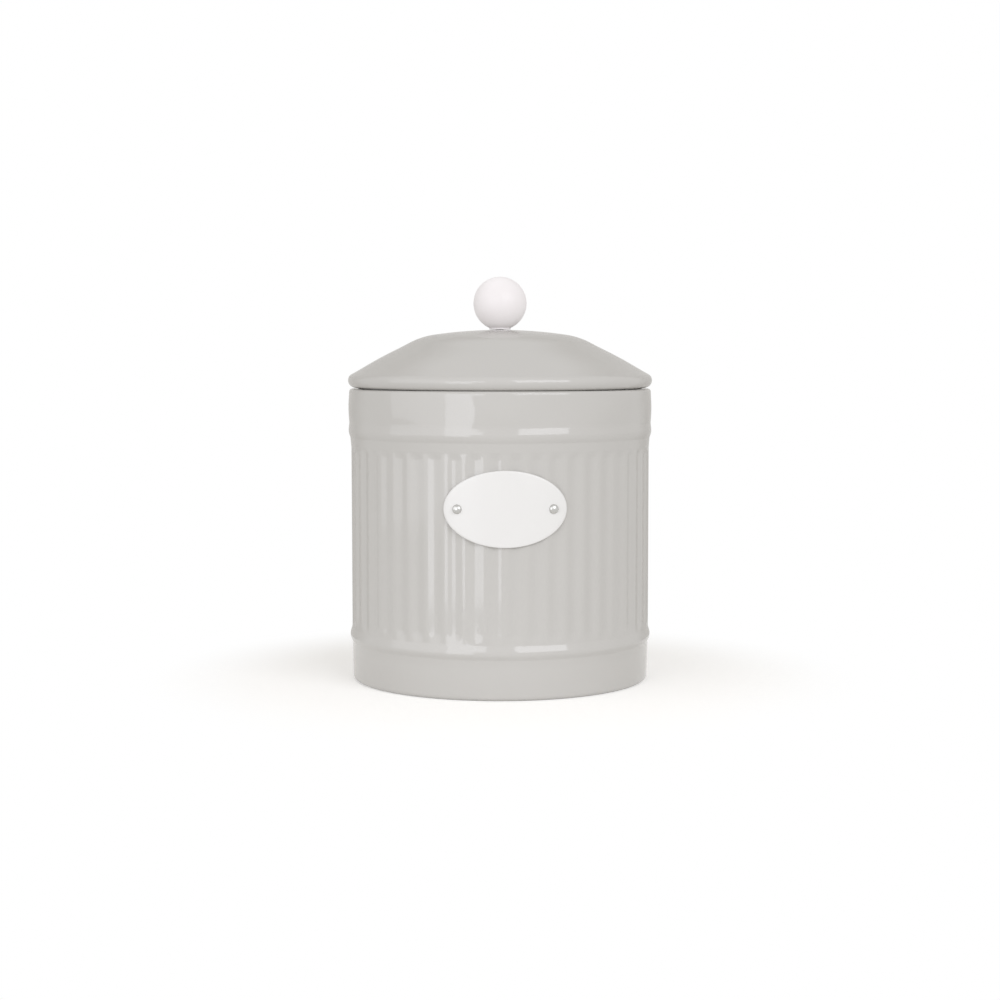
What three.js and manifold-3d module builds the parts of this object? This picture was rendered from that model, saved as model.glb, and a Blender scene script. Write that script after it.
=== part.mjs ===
// A coated sheet-steel storage tin: a fluted body with a riveted oval plate, and a domed
// push-in lid with a ball knob. Millimetres, +Z up. The origin is the centre of the foot,
// on the surface that the tin stands on, and the oval plate faces -Y.

import * as THREE from "three";
import { mergeVertices } from "three/addons/utils/BufferGeometryUtils.js";
import Module from "manifold-3d";

const wasm = await Module();
wasm.setup();

// Sheet and clearances
const SHEET = 0.6; // coated steel of the body, the base, the lid and its plug
const SEAT_GAP = 0.3; // between a piece and the face that it rests on
const HOLE_PLAY = 0.3; // round a shank in its hole

// Body: a rolled sheet with a hem under the foot, beads, flutes, a collar and a rolled rim
const WALL_RADIUS = 70.1; // over the crests of the ribs
const BODY_HEIGHT = 137.1; // foot to rim
const FOOT_TAPER = 0.8; // how far the plain base band draws in towards the foot
const FOOT_BEND = 1.0; // inside radius of the bend under the foot
const HEM_WIDTH = 2.6; // flat ring that the tin stands on
const LOWER_BEAD_CENTRE = 21.7;
const LOWER_BEAD_WIDTH = 5.2;
const LOWER_BEAD_RISE = 0.85;
const FLUTE_COUNT = 48;
const FLUTE_DEPTH = 0.7;
const FLUTE_FADE = 4.5; // height over which a flute runs out at each end
const FLUTE_MARGIN_LOW = 2.2; // plain strip above the lower bead
const FLUTE_MARGIN_HIGH = 4.7; // plain strip below the collar
const COLLAR_HEIGHT = 22.2; // rim down to the foot of the collar's bead
const COLLAR_BEAD_WIDTH = 5.9;
const COLLAR_BEAD_RISE = 0.75;
const COLLAR_STEP = 1.0; // collar outside the wall, just above its bead
const COLLAR_TOP_STEP = 0.5; // collar outside the wall, where the rim bends over
const COLLAR_BELLY = 0.5; // swell of the collar between those two
const RIM_BEND = 1.0; // inside radius of the rim's outer bend
const RIM_WIDTH = 4.1; // outside of the rim to the mouth
const LIP_BEND = 0.4; // inside radius of the bend from the rim into the mouth
const LIP_DEPTH = 5.2; // rim to the lower edge of the lip inside the mouth

// Base: a pressed dish set down on the hem
const BASE_BEND = 1.0; // inside radius of the bend up to the flange
const BASE_FLANGE = 7.0; // height of the flange up the wall
const BASE_PANEL_RISE = 0.9; // stiffening panel pressed up in the middle
const BASE_PANEL_SLOPE = 2.0;
const BASE_PANEL_MARGIN = 8.0; // flange to the foot of the panel

// Oval plate and its rivets
const PLATE_WIDTH = 54.6; // seen from the front
const PLATE_HEIGHT = 34.1;
const PLATE_THICKNESS = 1.1;
const PLATE_DROP = 51.7; // rim to the middle of the plate
const RIVET_INSET = 6.0; // end of the plate to a rivet
const RIVET_RADIUS = 1.2;
const RIVET_HEAD_OVERHANG = 0.9;
const RIVET_HEAD_HEIGHT = 1.2;
const RIVET_TAIL_OVERHANG = 0.7;
const RIVET_TAIL_HEIGHT = 0.8;

// Lid: a flat hem, a rolled edge, a cone, a rounded shoulder and a shallow crown
const LID_GAP = 0.5; // shadow line between the rim and the lid
const LID_OVERHANG = 1.45; // lid outside the wall
const LID_ROLL = 2.6; // inside radius of the rolled edge
const CONE_ANGLE = 28.4; // degrees down from level
const SHOULDER_ARC = 36;
const CROWN_ARC = 215;
const CROWN_EDGE_ANGLE = 8.3; // slope in degrees where the crown meets the shoulder

// Plug under the lid, with the groove that holds its seal
const PLUG_PLAY = 1.2; // all round between the plug and the lip
const PLUG_DEPTH = 10.6; // below the lid's hem
const PLUG_HEM = 3.0; // turned in at the plug's lower edge
const PLUG_FLANGE = 3.0; // turned out above the lid's hem
const GROOVE_DROP = 2.1; // lid's hem to the upper edge of the groove
const GROOVE_HEIGHT = 4.0;
const GROOVE_DEPTH = 1.5;
const GROOVE_SLOPE = 0.5;

// Ball knob and its fastening
const KNOB_RADIUS = 12.5;
const KNOB_FOOT_RING = 0.9; // flat ring round the bore, where the ball stands on the lid
const SCREW_RADIUS = 2.0;
const SCREW_REACH = 8.0; // up into the knob
const SCREW_TIP = 0.8; // chamfer
const SCREW_HEAD_OVERHANG = 1.9;
const SCREW_HEAD_HEIGHT = 2.4;
const WASHER_WIDTH = 3.2;
const WASHER_THICKNESS = 0.8;
const INSERT_WALL = 1.1;
const INSERT_LENGTH = 10.0;
const BORE_RUNOUT = 1.0; // spare depth of the knob's bore

// Facets
const LID_FACETS = 48;
const KNOB_FACETS = 32;
const SMALL_FACETS = 16;
const OVAL_STEPS = 12; // in each quarter of the plate's outline
const MERGE_DISTANCE = 1e-3;

// Sizes that follow from the ones above
const footRadius = WALL_RADIUS - FOOT_TAPER;
const rimRadius = WALL_RADIUS + COLLAR_TOP_STEP;
const mouthRadius = rimRadius - RIM_WIDTH;
const beadBottom = LOWER_BEAD_CENTRE - LOWER_BEAD_WIDTH / 2;
const beadTop = LOWER_BEAD_CENTRE + LOWER_BEAD_WIDTH / 2;
const collarBottom = BODY_HEIGHT - COLLAR_HEIGHT;
const fluteBottom = beadTop + FLUTE_MARGIN_LOW;
const fluteTop = collarBottom - FLUTE_MARGIN_HIGH;
const wallFacets = 2 * FLUTE_COUNT;
const plateInside = WALL_RADIUS + SEAT_GAP;
const plateOutside = plateInside + PLATE_THICKNESS;
const plateCentre = BODY_HEIGHT - PLATE_DROP;
const rivetAngle = Math.asin((PLATE_WIDTH / 2 - RIVET_INSET) / plateOutside);
const rivetHole = RIVET_RADIUS + HOLE_PLAY;
const plugRadius = mouthRadius - PLUG_PLAY;
const grooveFloor = plugRadius - GROOVE_DEPTH;
const screwHole = SCREW_RADIUS + HOLE_PLAY;
const insertRadius = screwHole + INSERT_WALL;
const knobBore = insertRadius + HOLE_PLAY;
const knobFoot = knobBore + KNOB_FOOT_RING;

const point = (r, z) => new THREE.Vector2(r, z);

// An arc of a section about the centre (r, z). Angles are in degrees, from outwards to upwards.
function arc(r, z, radius, from, to, steps) {
  return Array.from({ length: steps + 1 }, (_, i) => {
    const angle = THREE.MathUtils.degToRad(THREE.MathUtils.lerp(from, to, i / steps));
    return point(r + radius * Math.cos(angle), z + radius * Math.sin(angle));
  });
}

// A stretch from one point to another that swells outwards by rise in its middle.
function swell(start, end, rise, steps) {
  return Array.from({ length: steps + 1 }, (_, i) => {
    const place = start.clone().lerp(end, i / steps);
    place.x += rise * Math.sin((Math.PI * i) / steps);
    return place;
  });
}

// Stretches joined end to end, with a point that two of them share kept once.
function joined(...stretches) {
  const points = stretches.flat();
  return points.filter((place, i) => i === 0 || place.distanceTo(points[i - 1]) > MERGE_DISTANCE);
}

function leftOf(from, to) {
  const along = to.clone().sub(from).normalize();
  return point(-along.y, along.x);
}

// The section of a sheet whose outer face is the path, with the metal on the path's left.
function sheetSection(path) {
  const last = path.length - 1;
  const otherFace = path.map((place, i) => {
    const before = i === 0 ? leftOf(path[0], path[1]) : leftOf(path[i - 1], place);
    const after = i === last ? before : leftOf(place, path[i + 1]);
    const mitre = before.clone().add(after);
    return place.clone().addScaledVector(mitre, SHEET / (1 + before.dot(after)));
  });
  return [...path, ...otherFace.reverse()];
}

function ring(inside, outside, bottom, top) {
  return [point(inside, bottom), point(outside, bottom), point(outside, top), point(inside, top)];
}

const closed = (section) => [...section, section[0]];

// A section turned about the Z axis, starting at the front.
function turned(section, facets) {
  return new THREE.LatheGeometry(section, facets).rotateX(Math.PI / 2);
}

// A closed geometry as a solid that can be cut.
function solidOf(geometry) {
  const bare = geometry.clone();
  bare.deleteAttribute("normal");
  bare.deleteAttribute("uv");
  const merged = mergeVertices(bare, MERGE_DISTANCE);
  const vertProperties = merged.attributes.position.array;
  const triVerts = new Uint32Array(merged.index.array);
  return new wasm.Manifold(new wasm.Mesh({ numProp: 3, vertProperties, triVerts }));
}

function geometryOf(solid) {
  const mesh = solid.getMesh();
  const geometry = new THREE.BufferGeometry();
  geometry.setAttribute("position", new THREE.BufferAttribute(mesh.vertProperties, 3));
  geometry.setIndex(new THREE.BufferAttribute(mesh.triVerts, 1));
  geometry.computeVertexNormals();
  return geometry;
}

function piece(name, geometry, material) {
  const mesh = new THREE.Mesh(geometry, material);
  mesh.name = name;
  return mesh;
}

// Finishes
function finish(color, roughness, metalness) {
  return new THREE.MeshStandardMaterial({ color, roughness, metalness });
}
const greyCoat = () => finish("#c9c7c3", 0.18, 0.0);
const whiteEnamel = () => finish("#f1f0ee", 0.15, 0.0);
const whiteLacquer = () => finish("#f4f1f1", 0.45, 0.0);
const brightSteel = () => finish("#d2d2d0", 0.25, 1.0);
const zincSteel = () => finish("#b9bcbf", 0.35, 1.0);
const brass = () => finish("#c9a85a", 0.3, 1.0);
const darkSilicone = () => finish("#3c3c3d", 0.6, 0.0);

// How fully pressed a flute is at a height, from 0 on the plain strips to 1.
function fluteShare(z) {
  const distanceFromEnd = Math.min(z - fluteBottom, fluteTop - z);
  return THREE.MathUtils.clamp(distanceFromEnd / FLUTE_FADE, 0, 1);
}

// Presses every second column of facets in, between one rib's crest and the next.
function pressFlutes(geometry, rows) {
  const places = geometry.attributes.position;
  for (let i = 0; i < places.count; i += 1) {
    const isGroove = Math.floor(i / rows) % 2 === 1;
    const depth = isGroove ? FLUTE_DEPTH * fluteShare(places.getZ(i)) : 0;
    const radius = Math.hypot(places.getX(i), places.getY(i));
    const share = (radius - depth) / radius;
    places.setXY(i, places.getX(i) * share, places.getY(i) * share);
  }
  return geometry;
}

// A drill for one rivet, square to the wall, at an angle from the front.
function rivetDrill(angle) {
  const drill = new THREE.CylinderGeometry(rivetHole, rivetHole, WALL_RADIUS, SMALL_FACETS);
  drill.translate(0, -WALL_RADIUS, 0);
  drill.rotateZ(angle);
  drill.translate(0, 0, plateCentre);
  return solidOf(drill);
}

function drilled(solid) {
  return solid.subtract(rivetDrill(-rivetAngle)).subtract(rivetDrill(rivetAngle));
}

function bodyWall() {
  const footRound = FOOT_BEND + SHEET;
  const rimRound = RIM_BEND + SHEET;
  const lipRound = LIP_BEND + SHEET;
  const standing = footRadius - footRound;
  const collarFoot = point(WALL_RADIUS, collarBottom);
  const collarWaist = point(WALL_RADIUS + COLLAR_STEP, collarBottom + COLLAR_BEAD_WIDTH);
  const collarTop = point(rimRadius, BODY_HEIGHT - rimRound);
  const path = joined(
    [point(standing - HEM_WIDTH, 0)],
    arc(standing, footRound, footRound, -90, 0, 2),
    swell(point(WALL_RADIUS, beadBottom), point(WALL_RADIUS, beadTop), LOWER_BEAD_RISE, 4),
    [point(WALL_RADIUS, fluteBottom)],
    [point(WALL_RADIUS, fluteBottom + FLUTE_FADE)],
    [point(WALL_RADIUS, fluteTop - FLUTE_FADE)],
    [point(WALL_RADIUS, fluteTop)],
    swell(collarFoot, collarWaist, COLLAR_BEAD_RISE, 3),
    swell(collarWaist, collarTop, COLLAR_BELLY, 3),
    arc(rimRadius - rimRound, BODY_HEIGHT - rimRound, rimRound, 0, 90, 2),
    arc(mouthRadius + lipRound, BODY_HEIGHT - lipRound, lipRound, 90, 180, 2),
    [point(mouthRadius, BODY_HEIGHT - LIP_DEPTH)],
  );
  const section = closed(sheetSection(path));
  const wall = pressFlutes(turned(section, wallFacets), section.length);
  return piece("body_wall", geometryOf(drilled(solidOf(wall))), greyCoat());
}

function basePlate() {
  const round = BASE_BEND + SHEET;
  const outside = footRadius - SHEET - SEAT_GAP;
  const bottom = SHEET + SEAT_GAP;
  const panelFoot = outside - BASE_PANEL_MARGIN;
  const path = [
    point(0, bottom + BASE_PANEL_RISE),
    point(panelFoot - BASE_PANEL_SLOPE, bottom + BASE_PANEL_RISE),
    point(panelFoot, bottom),
    ...arc(outside - round, bottom + round, round, -90, 0, 3),
    point(outside, bottom + BASE_FLANGE),
  ];
  return piece("base_plate", turned(sheetSection(path), LID_FACETS), greyCoat());
}

// The plate is the part of a band round the wall that lies behind an oval.
function ovalPlate() {
  const halfBand = PLATE_HEIGHT;
  const band = ring(plateInside, plateOutside, plateCentre - halfBand, plateCentre + halfBand);
  const oval = new THREE.Shape();
  oval.absellipse(0, 0, PLATE_WIDTH / 2, PLATE_HEIGHT / 2, 0, 2 * Math.PI);
  const depth = plateOutside + PLATE_THICKNESS;
  const outline = { depth, bevelEnabled: false, curveSegments: 4 * OVAL_STEPS };
  const prism = new THREE.ExtrudeGeometry(oval, outline);
  prism.rotateX(Math.PI / 2);
  prism.translate(0, 0, plateCentre);
  const plate = solidOf(turned(closed(band), wallFacets)).intersect(solidOf(prism));
  return piece("oval_plate", geometryOf(drilled(plate)), whiteEnamel());
}

// A rivet lies along a radius of the tin, so its heights are distances from the tin's axis.
function rivet(name, angle) {
  const tailTop = WALL_RADIUS - FLUTE_DEPTH - SHEET - SEAT_GAP;
  const tailRadius = RIVET_RADIUS + RIVET_TAIL_OVERHANG;
  const headBottom = plateOutside + SEAT_GAP;
  const headRadius = RIVET_RADIUS + RIVET_HEAD_OVERHANG;
  const dome = arc(0, 0, 1, 0, 90, 4).map(
    (place) => point(headRadius * place.x, headBottom + RIVET_HEAD_HEIGHT * place.y),
  );
  const section = [
    point(0, tailTop - RIVET_TAIL_HEIGHT),
    point(tailRadius, tailTop - RIVET_TAIL_HEIGHT),
    point(tailRadius, tailTop),
    point(RIVET_RADIUS, tailTop),
    point(RIVET_RADIUS, headBottom),
    ...dome,
  ];
  const body = turned(section, SMALL_FACETS).rotateX(Math.PI / 2);
  const place = new THREE.Group();
  place.position.z = plateCentre;
  place.rotation.z = angle;
  place.add(piece(name, body, brightSteel()));
  return place;
}

// The lid's section from the hem to the screw hole. Its zero is the underside of the hem.
function lidProfile() {
  const rollRound = LID_ROLL + SHEET;
  const rollCentre = WALL_RADIUS + LID_OVERHANG - rollRound;
  const cone = THREE.MathUtils.degToRad(CONE_ANGLE);
  const crownEdge = THREE.MathUtils.degToRad(CROWN_EDGE_ANGLE);
  const coneEnd = rollCentre + rollRound * Math.sin(cone);
  const shoulderCentre = (CROWN_ARC - SHOULDER_ARC) * Math.sin(crownEdge);
  const coneStart = shoulderCentre + SHOULDER_ARC * Math.sin(cone);
  const coneDrop = (coneEnd - coneStart) * Math.tan(cone);
  const shoulderHeight = rollRound * (1 + Math.cos(cone)) + coneDrop - SHOULDER_ARC * Math.cos(cone);
  const crownHeight = shoulderHeight - (CROWN_ARC - SHOULDER_ARC) * Math.cos(crownEdge);
  const holeAngle = THREE.MathUtils.radToDeg(Math.asin(screwHole / CROWN_ARC));
  const path = joined(
    [point(plugRadius + SEAT_GAP, 0)],
    arc(rollCentre, rollRound, rollRound, -90, 90 - CONE_ANGLE, 6),
    arc(shoulderCentre, shoulderHeight, SHOULDER_ARC, 90 - CONE_ANGLE, 90 - CROWN_EDGE_ANGLE, 3),
    arc(0, crownHeight, CROWN_ARC, 90 - CROWN_EDGE_ANGLE, 90 - holeAngle, 3),
  );
  return { path, top: crownHeight + CROWN_ARC };
}

function lidPlug() {
  const flangeUnderside = SHEET + SEAT_GAP;
  const grooveTop = -GROOVE_DROP;
  const grooveBottom = grooveTop - GROOVE_HEIGHT;
  const path = [
    point(plugRadius - PLUG_HEM, -PLUG_DEPTH),
    point(plugRadius, -PLUG_DEPTH),
    point(plugRadius, grooveBottom),
    point(grooveFloor, grooveBottom + GROOVE_SLOPE),
    point(grooveFloor, grooveTop - GROOVE_SLOPE),
    point(plugRadius, grooveTop),
    point(plugRadius, flangeUnderside),
    point(plugRadius + PLUG_FLANGE, flangeUnderside),
  ];
  return piece("lid_plug", turned(closed(sheetSection(path)), LID_FACETS), greyCoat());
}

// A ring with a round face towards the mouth, lying in the plug's groove.
function lidSeal() {
  const middle = -GROOVE_DROP - GROOVE_HEIGHT / 2;
  const half = GROOVE_HEIGHT / 2 - GROOVE_SLOPE - SEAT_GAP;
  const inside = grooveFloor + SEAT_GAP;
  const roundCentre = mouthRadius - SEAT_GAP - half;
  const section = [
    point(inside, middle - half),
    ...arc(roundCentre, middle, half, -90, 90, 4),
    point(inside, middle + half),
  ];
  return piece("lid_seal", turned(closed(section), LID_FACETS), darkSilicone());
}

function knobBall() {
  const boreDepth = Math.max(INSERT_LENGTH, SCREW_REACH) + BORE_RUNOUT;
  const centre = SEAT_GAP + Math.sqrt(KNOB_RADIUS ** 2 - knobFoot ** 2);
  const footAngle = THREE.MathUtils.radToDeg(Math.asin((SEAT_GAP - centre) / KNOB_RADIUS));
  const section = [
    point(0, SEAT_GAP + boreDepth),
    point(knobBore, SEAT_GAP + boreDepth),
    point(knobBore, SEAT_GAP),
    ...arc(0, centre, KNOB_RADIUS, footAngle, 90, 12),
  ];
  return piece("knob_ball", turned(section, KNOB_FACETS), whiteLacquer());
}

function knobInsert() {
  const section = ring(screwHole, insertRadius, SEAT_GAP, SEAT_GAP + INSERT_LENGTH);
  return piece("knob_insert", turned(closed(section), SMALL_FACETS), brass());
}

function knobWasher() {
  const top = -SHEET - SEAT_GAP;
  const section = ring(screwHole, screwHole + WASHER_WIDTH, top - WASHER_THICKNESS, top);
  return piece("knob_washer", turned(closed(section), SMALL_FACETS), zincSteel());
}

function knobScrew() {
  const headTop = -SHEET - SEAT_GAP - WASHER_THICKNESS - SEAT_GAP;
  const headRadius = SCREW_RADIUS + SCREW_HEAD_OVERHANG;
  const tip = SEAT_GAP + SCREW_REACH;
  const pan = arc(0, 0, 1, -90, 0, 4).map(
    (place) => point(headRadius * place.x, headTop + SCREW_HEAD_HEIGHT * place.y),
  );
  const section = [
    ...pan,
    point(SCREW_RADIUS, headTop),
    point(SCREW_RADIUS, tip - SCREW_TIP),
    point(SCREW_RADIUS - SCREW_TIP, tip),
    point(0, tip),
  ];
  return piece("knob_screw", turned(section, SMALL_FACETS), zincSteel());
}

// Assembly: the body's pieces stand on the origin, and the lid's hang from its hem and its crown
const tin = new THREE.Group();
tin.add(bodyWall(), basePlate(), ovalPlate());
tin.add(rivet("plate_rivet_left", -rivetAngle), rivet("plate_rivet_right", rivetAngle));

const lid = new THREE.Group();
const profile = lidProfile();
lid.position.z = BODY_HEIGHT + LID_GAP;
lid.add(piece("lid_shell", turned(closed(sheetSection(profile.path)), LID_FACETS), greyCoat()));
lid.add(lidPlug(), lidSeal());

const knob = new THREE.Group();
knob.position.z = profile.top;
knob.add(knobBall(), knobInsert(), knobWasher(), knobScrew());
lid.add(knob);

const storageTin = new THREE.Group();
storageTin.add(tin, lid);

export default storageTin;
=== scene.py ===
"""A coated sheet-steel storage tin with a domed push-in lid, dressed for a studio picture.

The solids of the frame give the places. Every piece is worked out again as a fine numpy surface,
with its flutes, rolled edges and fillets, and gets the finish of its real material.
Sizes are in millimetres and angles in degrees, unless a name says otherwise. Meshes are in metres.
"""

from __future__ import annotations

import logging
import math
from dataclasses import dataclass
from enum import Enum
from typing import Any, Callable, Optional, Union

import bpy
import numpy as np
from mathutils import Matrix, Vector

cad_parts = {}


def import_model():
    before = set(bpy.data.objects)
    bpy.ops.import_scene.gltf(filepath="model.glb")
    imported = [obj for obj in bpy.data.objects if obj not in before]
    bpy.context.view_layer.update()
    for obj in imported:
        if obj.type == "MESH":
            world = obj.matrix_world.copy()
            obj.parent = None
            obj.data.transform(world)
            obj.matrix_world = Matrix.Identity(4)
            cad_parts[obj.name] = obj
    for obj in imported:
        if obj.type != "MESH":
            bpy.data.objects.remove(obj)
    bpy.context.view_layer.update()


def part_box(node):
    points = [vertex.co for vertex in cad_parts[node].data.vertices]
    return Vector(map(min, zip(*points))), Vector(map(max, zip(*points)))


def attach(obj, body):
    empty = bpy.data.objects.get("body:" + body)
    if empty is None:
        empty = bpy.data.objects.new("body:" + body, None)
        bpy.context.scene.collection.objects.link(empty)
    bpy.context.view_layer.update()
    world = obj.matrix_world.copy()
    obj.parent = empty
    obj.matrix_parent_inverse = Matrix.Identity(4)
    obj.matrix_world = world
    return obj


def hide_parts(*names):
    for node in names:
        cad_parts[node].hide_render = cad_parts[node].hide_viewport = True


MM = 0.001  # metres in a millimetre
POLE_SIZE = 1e-6  # a row of a grid that is smaller than this is one point
SAME_POINT = 1e-4  # two points of a section that are closer than this are one
FLAT_START = 1.25  # where the flat beside an eased corner starts, in reaches of its curve
SHARP_ANGLE = 40.0  # an edge that turns more than this is drawn sharp

log = logging.getLogger("storage_tin")

Piece = bpy.types.Object
Tree = bpy.types.NodeTree
Socket = bpy.types.NodeSocket
Shift = Callable[[np.ndarray, np.ndarray], np.ndarray]
Value = Union[float, tuple, Socket]


class Body(Enum):
    """The bodies of the frame that pieces move with."""

    TIN = "tin"
    SEAL = "seal"
    LID = "lid"


class Slot(Enum):
    """The record's material slots."""

    GREY_COAT = "grey_coat"
    WHITE_ENAMEL = "white_enamel"
    BRIGHT_STEEL = "bright_steel"
    ZINC_STEEL = "zinc_steel"
    BRASS = "brass"
    WHITE_LACQUER = "white_lacquer"
    DARK_SILICONE = "dark_silicone"


class Side(Enum):
    """The plate's two sides, with the sign of the angle from the front to their rivets."""

    LEFT = -1
    RIGHT = 1

    @property
    def word(self) -> str:
        """The side's name as it stands in the names of pieces."""
        return self.name.lower()


# Sections and surfaces


def arc(centre: tuple[float, float], radius: float, start: float, end: float, steps: int) -> np.ndarray:
    """Points of a circle's arc: centre + radius (cos a, sin a), with a from start to end in equal steps.

    Args:
        centre: radius and height of the arc's centre.
        radius: the arc's own radius.
        start: first angle, counted from outwards to upwards.
        end: last angle.
        steps: number of equal steps.

    Returns:
        An array of (radius, height) rows.
    """
    angles = np.radians(np.linspace(start, end, steps + 1))
    return np.array(centre) + radius * np.column_stack([np.cos(angles), np.sin(angles)])


def joined(*stretches: Any) -> np.ndarray:
    """Joins stretches of a section end to end, and keeps a point that two of them share once.

    Args:
        stretches: arrays or lists of (radius, height) rows.

    Returns:
        One array of rows.
    """
    points = np.vstack([np.reshape(stretch, (-1, 2)) for stretch in stretches])
    lengths = np.linalg.norm(np.diff(points, axis=0), axis=1)
    return points[np.concatenate([[True], lengths > SAME_POINT])]


def eased(corners: Any, reach: float, steps: int = 5) -> np.ndarray:
    """Rounds the inner corners of a line of straight stretches.

    Each corner C gives way to the curve (1-t)^2 A + 2t(1-t) C + t^2 B, where A and B lie at reach
    before and after it. One more point on either side keeps the flats flat when they are shaded.

    Args:
        corners: rows of (radius, height), of which the first and the last stay.
        reach: distance from a corner to where its curve starts.
        steps: number of steps in each curve.

    Returns:
        An array of (radius, height) rows.
    """
    points = np.asarray(corners, float)
    along = np.diff(points, axis=0)
    along /= np.linalg.norm(along, axis=1, keepdims=True)
    middle, before, after = points[1:-1, None], -along[:-1, None], along[1:, None]
    t = np.linspace(0, 1, steps + 1)[None, :, None]
    curve = middle + reach * ((1 - t) ** 2 * before + t**2 * after)
    flat_before = middle + FLAT_START * reach * before
    flat_after = middle + FLAT_START * reach * after
    rounded = np.concatenate([flat_before, curve, flat_after], axis=1)
    return np.vstack([points[:1], rounded.reshape(-1, 2), points[-1:]])


def sheet_section(path: np.ndarray, thickness: float, thin_out: int = 1) -> np.ndarray:
    """The closed section of a sheet: its outer face, and back along that face set off by the thickness.

    Each point moves along the mitre of its two neighbouring stretches, to the left of the path.

    Args:
        path: the outer face, with the metal on its left.
        thickness: of the sheet.
        thin_out: the other face keeps every so many points.

    Returns:
        The section's rows, counter-clockwise.
    """
    along = np.diff(path, axis=0)
    along /= np.linalg.norm(along, axis=1, keepdims=True)
    left = np.column_stack([-along[:, 1], along[:, 0]])
    before = np.vstack([left[:1], left])
    after = np.vstack([left, left[-1:]])
    mitre = (before + after) / (1 + np.sum(before * after, axis=1, keepdims=True))
    other = path + thickness * mitre
    kept = np.unique(np.append(np.arange(0, len(path), thin_out), len(path) - 1))
    return np.vstack([path, other[kept][::-1]])


def all_round(columns: int) -> np.ndarray:
    """Equal steps of a full turn in radians, one for each column of a grid."""
    return np.linspace(0, 2 * np.pi, columns, endpoint=False)[:, None]


def revolved(section: np.ndarray, columns: int, shift: Optional[Shift] = None) -> np.ndarray:
    """Carries a section round the Z axis: (r sin a, -r cos a, z), so that the angle a is zero at the front.

    Args:
        section: rows of (radius, height).
        columns: how many copies of the section stand round the axis.
        shift: gives what is added to the radius at an angle and a height.

    Returns:
        A grid of points with the shape (columns, rows, 3).
    """
    angle = all_round(columns)
    height = np.broadcast_to(section[None, :, 1], (columns, len(section)))
    radius = np.broadcast_to(section[None, :, 0], height.shape)
    if shift is not None:
        radius = radius + shift(angle, height)
    return np.stack([radius * np.sin(angle), -radius * np.cos(angle), height], axis=-1)


def make_piece(name: str, grid: np.ndarray, loop: bool) -> Piece:
    """Makes an object of a grid of points, whose columns go all the way round.

    Four neighbours make a face. A row that shrinks to one point is welded, and its faces are triangles.

    Args:
        name: of the object and its mesh.
        grid: points with the shape (columns, rows, 3).
        loop: whether the last row meets the first.

    Returns:
        The new object, linked to the scene.
    """
    columns, rows, _ = grid.shape
    index = np.arange(columns * rows).reshape(columns, rows)
    poles = np.ptp(grid, axis=0).max(axis=1) < POLE_SIZE
    index[:, poles] = index[0, poles]
    if loop:
        index = np.column_stack([index, index[:, 0]])
    beside = np.roll(index, -1, axis=0)
    corners = np.stack([index[:, :-1], beside[:, :-1], beside[:, 1:], index[:, 1:]], axis=-1)
    corners = corners.reshape(-1, 4)
    starts_at_pole = corners[:, 0] == corners[:, 1]
    ends_at_pole = corners[:, 2] == corners[:, 3]
    quads = corners[~(starts_at_pole | ends_at_pole)]
    fans = np.vstack([corners[starts_at_pole][:, [0, 2, 3]], corners[ends_at_pole][:, [0, 1, 2]]])
    used = np.unique(np.concatenate([quads.ravel(), fans.ravel()]))
    faces = np.searchsorted(used, quads).tolist() + np.searchsorted(used, fans).tolist()
    mesh = bpy.data.meshes.new(name)
    mesh.from_pydata((grid.reshape(-1, 3)[used] * MM).tolist(), [], faces)
    shade(mesh)
    piece = bpy.data.objects.new(name, mesh)
    bpy.context.scene.collection.objects.link(piece)
    return piece


def shade(mesh: bpy.types.Mesh) -> None:
    """Shades a mesh smooth, apart from the edges that turn by more than SHARP_ANGLE."""
    mesh.polygons.foreach_set("use_smooth", np.ones(len(mesh.polygons), bool))
    mesh.set_sharp_from_angle(angle=math.radians(SHARP_ANGLE))


def drill(piece: Piece, drills: list[Piece]) -> None:
    """Cuts the drills' shapes out of a piece, keeps the result as its mesh and removes the drills.

    Args:
        piece: what is cut.
        drills: closed shapes.
    """
    for tool in drills:
        cut = piece.modifiers.new(tool.name, "BOOLEAN")
        cut.operation = "DIFFERENCE"
        cut.solver = "EXACT"
        cut.object = tool
    graph = bpy.context.evaluated_depsgraph_get()
    bored = bpy.data.meshes.new_from_object(piece.evaluated_get(graph))
    piece.modifiers.clear()
    solid, piece.data = piece.data, bored
    bored.name = piece.name
    bpy.data.meshes.remove(solid)
    shade(bored)
    for tool in drills:
        bpy.data.objects.remove(tool)


def ramp(value: np.ndarray, start: float, end: float) -> np.ndarray:
    """A share that rises evenly from 0 at start to 1 at end."""
    return np.clip((value - start) / (end - start), 0, 1)


def smooth(share: np.ndarray) -> np.ndarray:
    """Eases a share from 0 to 1 without a kink at either end: 3s^2 - 2s^3."""
    s = np.clip(share, 0, 1)
    return s * s * (3 - 2 * s)


def triangle_wave(turns: np.ndarray) -> np.ndarray:
    """A wave of straight flanks, which is 1 at whole turns and 0 halfway between them."""
    return np.abs(turns % 1 - 0.5) * 2


def box_mm(node: str) -> tuple[np.ndarray, np.ndarray]:
    """The lowest and the highest corner of a solid of the frame.

    Args:
        node: its name.

    Returns:
        Two arrays of x, y and z.
    """
    low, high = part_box(node)
    return np.array(low) / MM, np.array(high) / MM


# Finishes


def linear(colour: str) -> tuple[float, float, float, float]:
    """Turns an sRGB colour, written as #rrggbb, to linear light with full alpha.

    Args:
        colour: the hex value.

    Returns:
        Red, green, blue and alpha.
    """
    srgb = np.array([int(colour[i : i + 2], 16) for i in (1, 3, 5)]) / 255
    light = np.where(srgb <= 0.04045, srgb / 12.92, ((srgb + 0.055) / 1.055) ** 2.4)
    return (*light.tolist(), 1.0)


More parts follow.
